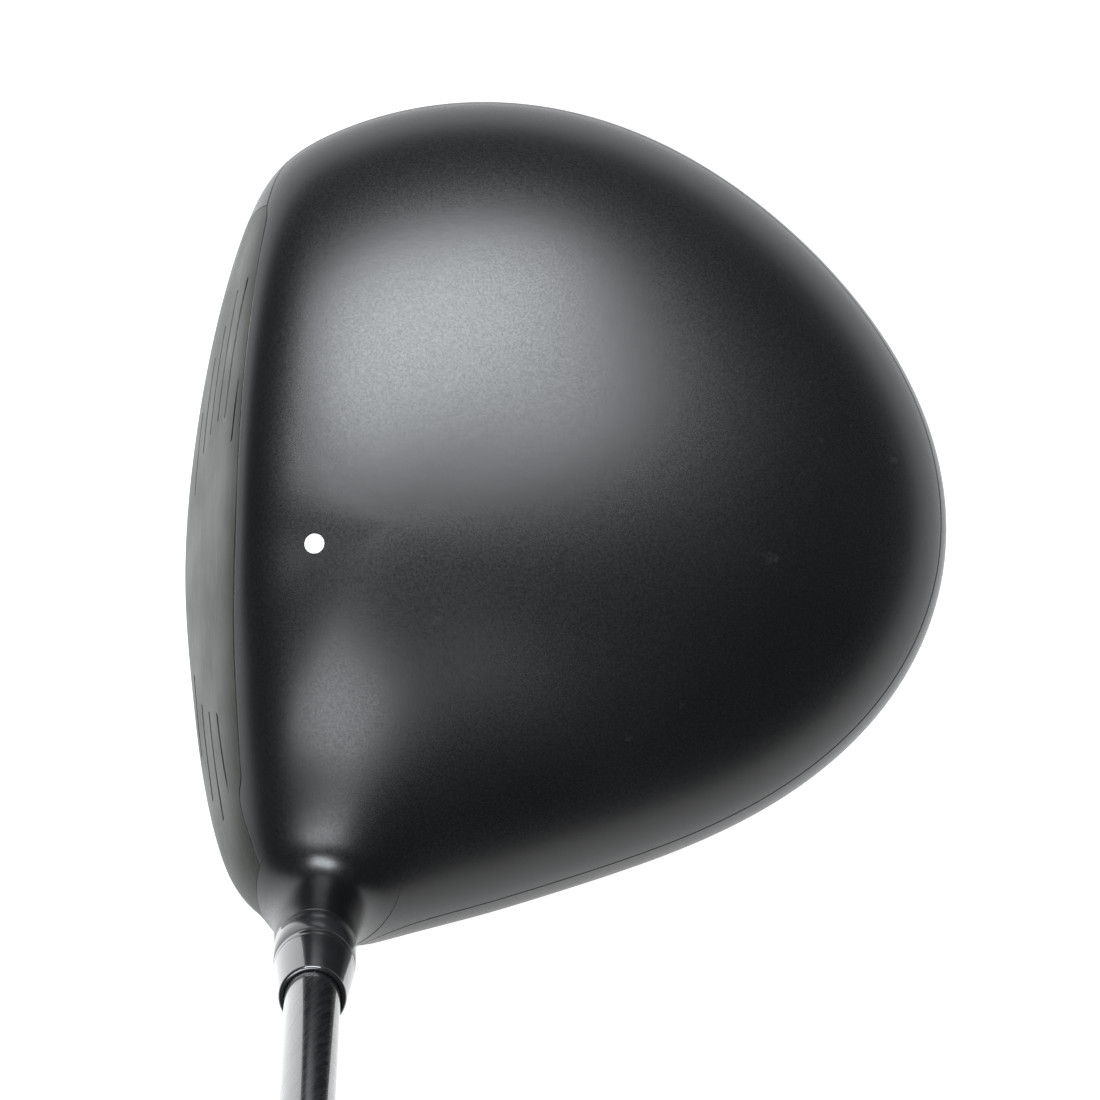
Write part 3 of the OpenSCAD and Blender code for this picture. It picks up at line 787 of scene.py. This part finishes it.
bore = INSERT_RADIUS + 0.05
outer = HOSEL_RADIUS - INSET
flare = flare_rings(64)
edge_radius, edge_t = flare[-1]
mouth, mouth_inner = sole_station(PORT_TUBE_RADIUS), sole_station(TOOL_BORE + 0.2)
spline_top = SLEEVE_END_T + SPLINE_LENGTH
seat = SEAT_T - SEAT_DEPTH
insert_bore = splined(bore - 0.9, bore, 0.9)
hosel = loft("hosel_neck", [
    # the rim, the neck's outer skin and the tube inside the head
    (outer - 0.35, RIM_T), (outer - 0.15, RIM_T - 0.04), (outer - 0.04, RIM_T - 0.14), *flare,
    (edge_radius - 1.3, edge_t - 0.8), (TUBE_RADIUS, CUT_T - 1.5), (TUBE_RADIUS, SEAT_T - 8),
    # the narrower tube down to its mouth in the sole, and back up the tool's bore
    (PORT_TUBE_RADIUS, SEAT_T - 8.6), (PORT_TUBE_RADIUS, mouth + 0.25),
    (PORT_TUBE_RADIUS - 0.08, mouth + 0.07), (PORT_TUBE_RADIUS - 0.28, mouth),
    (TOOL_BORE + 0.35, mouth_inner), (TOOL_BORE + 0.1, mouth_inner + 0.1), (TOOL_BORE, mouth_inner + 0.35),
    # the bolt's seat, the splined bore and the plain bore up to the rim
    (TOOL_BORE, seat), (BOLT_RADIUS + 0.5, seat), (BOLT_RADIUS + 0.3, seat + 0.2),
    (BOLT_RADIUS + 0.3, SEAT_T), (insert_bore, SEAT_T), (insert_bore, spline_top), (bore, spline_top + 0.05),
    (bore, RIM_T - 0.3), (bore + 0.08, RIM_T - 0.1), (bore + 0.25, RIM_T)])
place(hosel, "hosel", body_paint)

# ---- Hosel parts ----


def socket_radius(head_radius):
    """A six-lobed socket's radius all the way round."""
    return head_radius * (0.53 + 0.1 * np.cos(6 * AROUND))


def screw(name, head_radius, head_height, shank_radius, shank_length, base, axes):
    """A cylinder-head screw seen from its socket: the head's face is at height 0."""
    socket = socket_radius(head_radius)
    deep = head_height * 0.65
    thread_top = head_height + shank_length
    pitch = 0.8
    count = int(shank_length / pitch) * 6
    thread = [(shank_radius - 0.08 - 0.12 * abs(math.sin(math.pi * i / 6)),
               head_height + 0.4 + (shank_length - 1) * i / count) for i in range(count + 1)]
    return loft(name, [
        (0.02, deep), (socket - 0.25, deep), (socket, deep - 0.2), (socket, 0.12), (socket + 0.12, 0.0),
        (head_radius - 0.62, 0.0), (head_radius - 0.4, 0.06), (head_radius - 0.14, 0.26),
        (head_radius - 0.05, 0.5), (head_radius - 0.05, head_height - 0.15), (head_radius - 0.2, head_height),
        (shank_radius + 0.1, head_height), *thread, (shank_radius - 0.6, thread_top), (0.02, thread_top)],
        base=base, axes=axes, smooth_angle=35)


bolt_base_t = SEAT_T - SEAT_DEPTH - WASHER_HEIGHT - BOLT_HEAD_HEIGHT
oxide = black_oxide("screw_metal")
bolt = screw("sleeve_bolt", BOLT_HEAD_RADIUS, BOLT_HEAD_HEIGHT, BOLT_RADIUS, 15,
             SHAFT_FOOT + bolt_base_t * SHAFT_WAY, SHAFT_AXES)
place(bolt, "hosel_bolt", oxide)

washer_t = SEAT_T - SEAT_DEPTH - WASHER_HEIGHT
washer_out, washer_in = BOLT_HEAD_RADIUS + 0.2, BOLT_RADIUS + 0.05
washer = loft("washer", [
    (washer_in, washer_t + 0.12), (washer_in + 0.12, washer_t), (washer_out - 0.15, washer_t),
    (washer_out, washer_t + 0.15), (washer_out, washer_t + WASHER_HEIGHT - 0.15),
    (washer_out - 0.15, washer_t + WASHER_HEIGHT), (washer_in + 0.12, washer_t + WASHER_HEIGHT),
    (washer_in, washer_t + WASHER_HEIGHT - 0.12)])
place(washer, "hosel_washer",
      turned_metal("washer_metal", SHAFT_FOOT, SHAFT_WAY, (0.42, 0.42, 0.43), (0.62, 0.62, 0.62), 0.3))

core = INSERT_RADIUS - 0.9
ring_radius = HOSEL_RADIUS - 0.06
spline_ring = splined(core, INSERT_RADIUS - 0.1, 0.75)
sleeve = loft("sleeve", [
    # the threaded end and the splines
    (BOLT_RADIUS + 0.05, SLEEVE_END_T + 0.3), (BOLT_RADIUS + 0.35, SLEEVE_END_T),
    (splined(core - 0.2, INSERT_RADIUS - 0.3, 0.75), SLEEVE_END_T), (spline_ring, SLEEVE_END_T + 0.3),
    (spline_ring, spline_top), (INSERT_RADIUS, spline_top + 0.5),
    # the barrel in the hosel, with a groove near its top
    (INSERT_RADIUS, RIM_T - 6), (INSERT_RADIUS - 0.25, RIM_T - 5.8), (INSERT_RADIUS - 0.25, RIM_T - 5.2),
    (INSERT_RADIUS, RIM_T - 5), (INSERT_RADIUS, RIM_T + 0.02),
    # the ring that shows above the hosel
    (ring_radius - 0.3, RIM_T + 0.05), (ring_radius - 0.1, RIM_T + 0.12), (ring_radius, RIM_T + 0.32),
    (ring_radius, RING_TOP_T - 0.75), (ring_radius - 0.05, RING_TOP_T - 0.68),
    (ring_radius - 0.1, RING_TOP_T - 0.5), (ring_radius - 0.15, RING_TOP_T - 0.1),
    (ring_radius - 0.3, RING_TOP_T),
    # the shaft's bore and the step to the bolt's hole
    (SHAFT_TIP, RING_TOP_T), (SHAFT_TIP, TIP_END_T), (BOLT_RADIUS + 0.2, TIP_END_T - 0.4),
    (BOLT_RADIUS + 0.05, TIP_END_T - 0.8)])
place(sleeve, "hosel_sleeve",
      gloss_black("sleeve_black", (0.011, 0.011, 0.012), 0.2, 0.004, 0.6))

ferrule_base, ferrule_top = HOSEL_RADIUS - 0.1, SHAFT_TIP + 0.88
LIP = 0.5


def ferrule_profile():
    """A cone drawn in towards the shaft, with a fine turned line near its foot and a rounded lip."""
    start, end = RING_TOP_T + 0.12, FERRULE_TOP_T - LIP
    rings = []
    for u in np.linspace(0, 1, 60):
        t = mix(start, end, u)
        radius = mix(ferrule_base, ferrule_top, u**1.15) - 0.1 * math.exp(-(((t - start - 1.1) / 0.14) ** 2))
        rings.append((radius, t))
    for angle in np.linspace(0, 90, 10)[1:]:
        a = math.radians(angle)
        rings.append((ferrule_top - LIP + LIP * math.cos(a), end + LIP * math.sin(a)))
    return rings


ferrule = loft("ferrule_cone", [
    (SHAFT_TIP, RING_TOP_T), (ferrule_base - 0.25, RING_TOP_T), (ferrule_base - 0.06, RING_TOP_T + 0.05),
    *ferrule_profile(), (SHAFT_TIP + 0.14, FERRULE_TOP_T - 0.06), (SHAFT_TIP + 0.02, FERRULE_TOP_T - 0.3),
    (SHAFT_TIP, FERRULE_TOP_T - 0.5)])
place(ferrule, "ferrule",
      gloss_black("ferrule_plastic", (0.010, 0.010, 0.011), 0.16, 0.004))

# ---- Shaft and grip ----

SHAFT_END_T = CLUB_LENGTH - CAP_HEIGHT


def shaft_radius(t):
    return mix(SHAFT_TIP, SHAFT_BUTT, max(t - TIP_PARALLEL_T, 0) / (SHAFT_END_T - TIP_PARALLEL_T))


shaft_rings = [(shaft_radius(t), t) for t in np.linspace(TIP_END_T + 0.5, SHAFT_END_T - 0.5, 90)]
shaft = loft("shaft_tube", [
    (SHAFT_TIP - 1.6, TIP_END_T), (SHAFT_TIP - 0.3, TIP_END_T), *shaft_rings, (SHAFT_BUTT - 0.2, SHAFT_END_T),
    (SHAFT_BUTT - 1, SHAFT_END_T), (SHAFT_TIP - 1.6, TIP_PARALLEL_T)])
place(shaft, "shaft", carbon_gloss("shaft_paint"))

plug = loft("tip_plug", [
    (0.02, TIP_END_T), (SHAFT_TIP - 1.9, TIP_END_T), (SHAFT_TIP - 1.62, TIP_END_T + 0.3),
    (SHAFT_TIP - 1.62, TIP_END_T + 11.6), (SHAFT_TIP - 1.9, TIP_END_T + 12), (0.02, TIP_END_T + 12)])
place(plug, "shaft_tip_plug",
      plain_plastic("plug_plastic", (0.42, 0.33, 0.18), (0.55, 0.45, 0.27), 0.6))

tape_low, tape_high = GRIP_FOOT_T + 4, SHAFT_END_T
TAPE_WALL = 0.2
tape_rings = [(shaft_radius(t) + TAPE_WALL - 0.03 * (i % 2), t)
              for i, t in enumerate(np.linspace(tape_low + 0.1, tape_high - 0.1, 60))]
tape = loft("tape", [(shaft_radius(tape_low) + 0.01, tape_low), *tape_rings,
                     (shaft_radius(tape_high) + 0.01, tape_high)])
place(tape, "grip_tape", paper_tape("grip_tape"))

GRIP_ROWS = 520
GRIP_GROOVE = 0.32


def grip_outline(t):
    """The grip's plain radius: a short straight mouth, then two slow tapers."""
    stations = [GRIP_FOOT_T, GRIP_FOOT_T + 8, GRIP_FOOT_T + GRIP_LENGTH * 0.45, SHAFT_END_T - 12, SHAFT_END_T]
    radii = [GRIP_MOUTH, GRIP_MOUTH, mix(GRIP_MOUTH, GRIP_BUTT, 0.36), GRIP_BUTT, GRIP_BUTT + 0.4]
    return float(np.interp(t, stations, radii))


def grip_relief(t):
    """Depth of the moulded pattern: slanting grooves both ways, and plain bands at the ends and between."""
    start, end = GRIP_FOOT_T + 14, SHAFT_END_T - 16
    fade = np.clip(min(t - start, end - t) / 1.5, 0, 1)
    band = abs(((t - start) % 42) - 21) > 19.2
    if fade <= 0 or band:
        return 0 * AROUND
    starts = 18
    pitch = 4.4
    one = np.cos(starts * AROUND + 2 * math.pi * (t - start) / pitch)
    other = np.cos(starts * AROUND - 2 * math.pi * (t - start) / pitch)
    return GRIP_GROOVE * fade * np.clip((np.maximum(one, other) - 0.55) / 0.35, 0, 1)


grip_rings = []
for t in np.linspace(GRIP_FOOT_T + 1, SHAFT_END_T - 0.05, GRIP_ROWS):
    grip_rings.append((grip_outline(t) - 0.02 - grip_relief(t), t))
grip = loft("grip_sleeve", [
    (shaft_radius(GRIP_FOOT_T) + 0.02, GRIP_FOOT_T), (GRIP_MOUTH - 0.9, GRIP_FOOT_T),
    (GRIP_MOUTH - 0.35, GRIP_FOOT_T + 0.25), (GRIP_MOUTH - 0.1, GRIP_FOOT_T + 0.6), *grip_rings,
    (GRIP_BUTT + 0.2, SHAFT_END_T), (shaft_radius(SHAFT_END_T) + TAPE_WALL, SHAFT_END_T),
    (shaft_radius(tape_low) + TAPE_WALL + 0.02, tape_low), (shaft_radius(GRIP_FOOT_T) + 0.02, tape_low)])
rubber = grip_rubber("grip_rubber")
place(grip, "grip", rubber)


def cap_profile():
    base, bulge = GRIP_BUTT + 0.4, 2
    rings = [(base - 0.15, SHAFT_END_T)]
    for angle in np.linspace(-60, 80, 15):
        a = math.radians(angle)
        rings.append((base + bulge * math.cos(a) - 1.02,
                      SHAFT_END_T + CAP_HEIGHT / 2 + 0.7 + (CAP_HEIGHT / 2 - 0.75) * math.sin(a)))
    top = CLUB_LENGTH - 0.03
    for radius in (base - 2, 10.2, 9.9, 9.6, 9.3, 6.4, 6.1, 5.8, 5.5, 3.0):
        dip = 0.35 if radius in (9.9, 9.6, 6.1, 5.8) else 0
        rings.append((radius, top - dip))
    return [*rings, (VENT + 0.3, top), (VENT + 0.05, top - 0.15), (VENT, top - 0.45), (VENT, SHAFT_END_T)]


cap = loft("grip_end", cap_profile())
place(cap, "grip_cap", rubber)

# ---- Weights ----


def weight_port(name, node, port, radius, metal):
    """A cup let into the sole; heights run up into the head from the sole's surface."""
    centre, (across, over, down) = port
    sink, depth = PORT_SINK, WEIGHT_HEIGHT + 2.5
    out, inner = radius + PORT_WALL - 0.02, radius + 0.15
    floor = sink + WEIGHT_HEIGHT + 0.6
    piece = loft(name, [
        (inner, floor), (inner, sink + 0.4), (inner + 0.12, sink + 0.1), (inner + 0.3, sink),
        (out - 0.3, sink), (out - 0.08, sink + 0.08), (out, sink + 0.3), (out, sink + depth), (3.6, sink + depth),
        (3.6, sink + depth + 4), (SCREW_RADIUS + 0.05, sink + depth + 4), (SCREW_RADIUS + 0.05, floor)],
        base=centre, axes=(across, -over, -down))
    return place(piece, node, metal)


def weight_disc(name, node, port, radius, metal):
    """A turned disc with a stepped, ringed face round its screw."""
    centre, (across, over, down) = port
    base = PORT_SINK + 0.3
    bore, seat = SCREW_RADIUS + 0.05, SCREW_HEAD_RADIUS + 0.15
    rings = [(bore, base + WEIGHT_HEIGHT), (bore, base + SCREW_HEAD_HEIGHT), (seat, base + SCREW_HEAD_HEIGHT),
             (seat, base + 0.25), (seat + 0.2, base + 0.03)]
    for step in np.linspace(seat + 0.45, radius - 1.1, 7):
        rings += [(step, base + 0.02), (step + 0.08, base + 0.14), (step + 0.16, base + 0.02)]
    rings += [(radius - 0.8, base + 0.02), (radius - 0.3, base + 0.4), (radius - 0.02, base + 0.85),
              (radius - 0.02, base + WEIGHT_HEIGHT - 0.2), (radius - 0.2, base + WEIGHT_HEIGHT)]
    piece = loft(name, rings, base=centre, axes=(across, -over, -down), smooth_angle=30)
    return place(piece, node, metal)


for where, port, radius in (("rear", REAR_PORT, REAR_RADIUS), ("front", FRONT_PORT, FRONT_RADIUS)):
    centre, (across, over, down) = port
    weight_port(f"{where}_cup", f"{where}_weight_port", port, radius,
                turned_metal(f"port_metal_{where}", centre, down, (0.2, 0.2, 0.21), (0.3, 0.3, 0.32), 0.35))
    weight_disc(f"{where}_disc", f"{where}_weight", port, radius,
                turned_metal(f"weight_metal_{where}", centre, down, (0.34, 0.34, 0.35), (0.52, 0.52, 0.53),
                             0.28))
    turned = screw(f"{where}_screw", SCREW_HEAD_RADIUS, SCREW_HEAD_HEIGHT, SCREW_RADIUS, WEIGHT_HEIGHT + 2.5,
                   centre - down * (PORT_SINK + 0.3), (across, -over, -down))
    place(turned, f"{where}_weight_screw", oxide)

# ---- Alignment dot ----

DOT_X, DOT_Y, DOT_RADIUS = -12.3, -3.0, 1.55


def dot_skin():
    """A thin disc of paint that follows the crown, its edge rounded down."""
    rings = []
    for share, lift in ((0.04, 0.06), (0.35, 0.06), (0.65, 0.06), (0.88, 0.055), (0.96, 0.035), (1.0, -0.02)):
        x = DOT_X + share * DOT_RADIUS * np.cos(AROUND)
        y = DOT_Y + share * DOT_RADIUS * np.sin(AROUND)
        rings.append(np.stack([x, y, crown_top(x, y) + lift], 1))
    under = rings[-1] - [0, 0, 0.12]
    rings += [under, mix(under, under.mean(0), 0.95)]
    points = np.vstack(rings)
    faces = grid_faces(len(rings), SEGMENTS, True)
    cap_points = np.vstack([points, rings[0].mean(0), rings[-1].mean(0)])
    a, b = np.arange(SEGMENTS), (np.arange(SEGMENTS) + 1) % SEGMENTS
    last = (len(rings) - 1) * SEGMENTS
    top, bottom = len(points) + 0 * a, len(points) + 1 + 0 * a
    caps = np.vstack([np.stack([top, b, a], 1), np.stack([bottom, last + a, last + b], 1)])
    return mesh_object("dot", cap_points, np.vstack([faces, caps]))


def crown_top(x, y):
    """Height of the fine crown straight above a place."""
    start = np.stack([x, y, 0 * x + 20], 1)
    return 20 + surface_distance(start, np.broadcast_to([0.0, 0.0, 1.0], start.shape))


place(dot_skin(), "alignment_dot",
      plain_plastic("dot_white", (0.84, 0.84, 0.83), (0.92, 0.92, 0.91), 0.5, 0.3, 0.006))

# ---- Studio ----


def plane(name, half, height):
    mesh = bpy.data.meshes.new(name)
    corners = [(-half, -half, height), (half, -half, height), (half, half, height), (-half, half, height)]
    mesh.from_pydata(corners, [], [(0, 1, 2, 3)])
    piece = bpy.data.objects.new(name, mesh)
    bpy.context.scene.collection.objects.link(piece)
    return piece


FLOOR_DROP = 0.06  # metres below the sole, so that the released head stays above it
floor = plane("floor", 6, -FLOOR_DROP)
floor.data.materials.append(studio_floor("floor"))

AIM = Vector((0.0231, 0.0012, 0.030))


def soft_box(name, place_at, size, watts):
    light = bpy.data.lights.new(name, "AREA")
    light.shape, light.size, light.size_y = "RECTANGLE", *size
    light.energy = watts
    light.color = (0.93, 0.965, 1.0)
    lamp = bpy.data.objects.new(name, light)
    lamp.location = place_at
    lamp.rotation_euler = (AIM - Vector(place_at)).to_track_quat("-Z", "Y").to_euler()
    bpy.context.scene.collection.objects.link(lamp)


soft_box("key_box", (-0.04, 1.13, 1.72), (1.3, 1.0), 68)
soft_box("fill_box", (-0.5, -0.8, 1.8), (1.1, 0.9), 25)

world = bpy.data.worlds.new("world")
bpy.context.scene.world = world
world.use_nodes = True
world.node_tree.nodes["Background"].inputs["Color"].default_value = (0.9, 0.95, 1.0, 1)
world.node_tree.nodes["Background"].inputs["Strength"].default_value = 0.03
bpy.context.scene.view_settings.view_transform = "Standard"

ELEVATION = math.radians(79)
DISTANCE = 1.6
FRAME_WIDTH = 0.1681  # metres across the picture at the aim
camera = bpy.data.objects.new("camera", bpy.data.cameras.new("camera"))
camera.data.sensor_width = 36
camera.data.lens = camera.data.sensor_width * DISTANCE / FRAME_WIDTH
camera.data.clip_end = 20
back = Vector((0, -math.cos(ELEVATION), math.sin(ELEVATION)))
camera.location = AIM + back * DISTANCE
camera.rotation_euler = (-back).to_track_quat("-Z", "Y").to_euler()
bpy.context.scene.collection.objects.link(camera)
bpy.context.scene.camera = camera

bpy.context.view_layer.update()
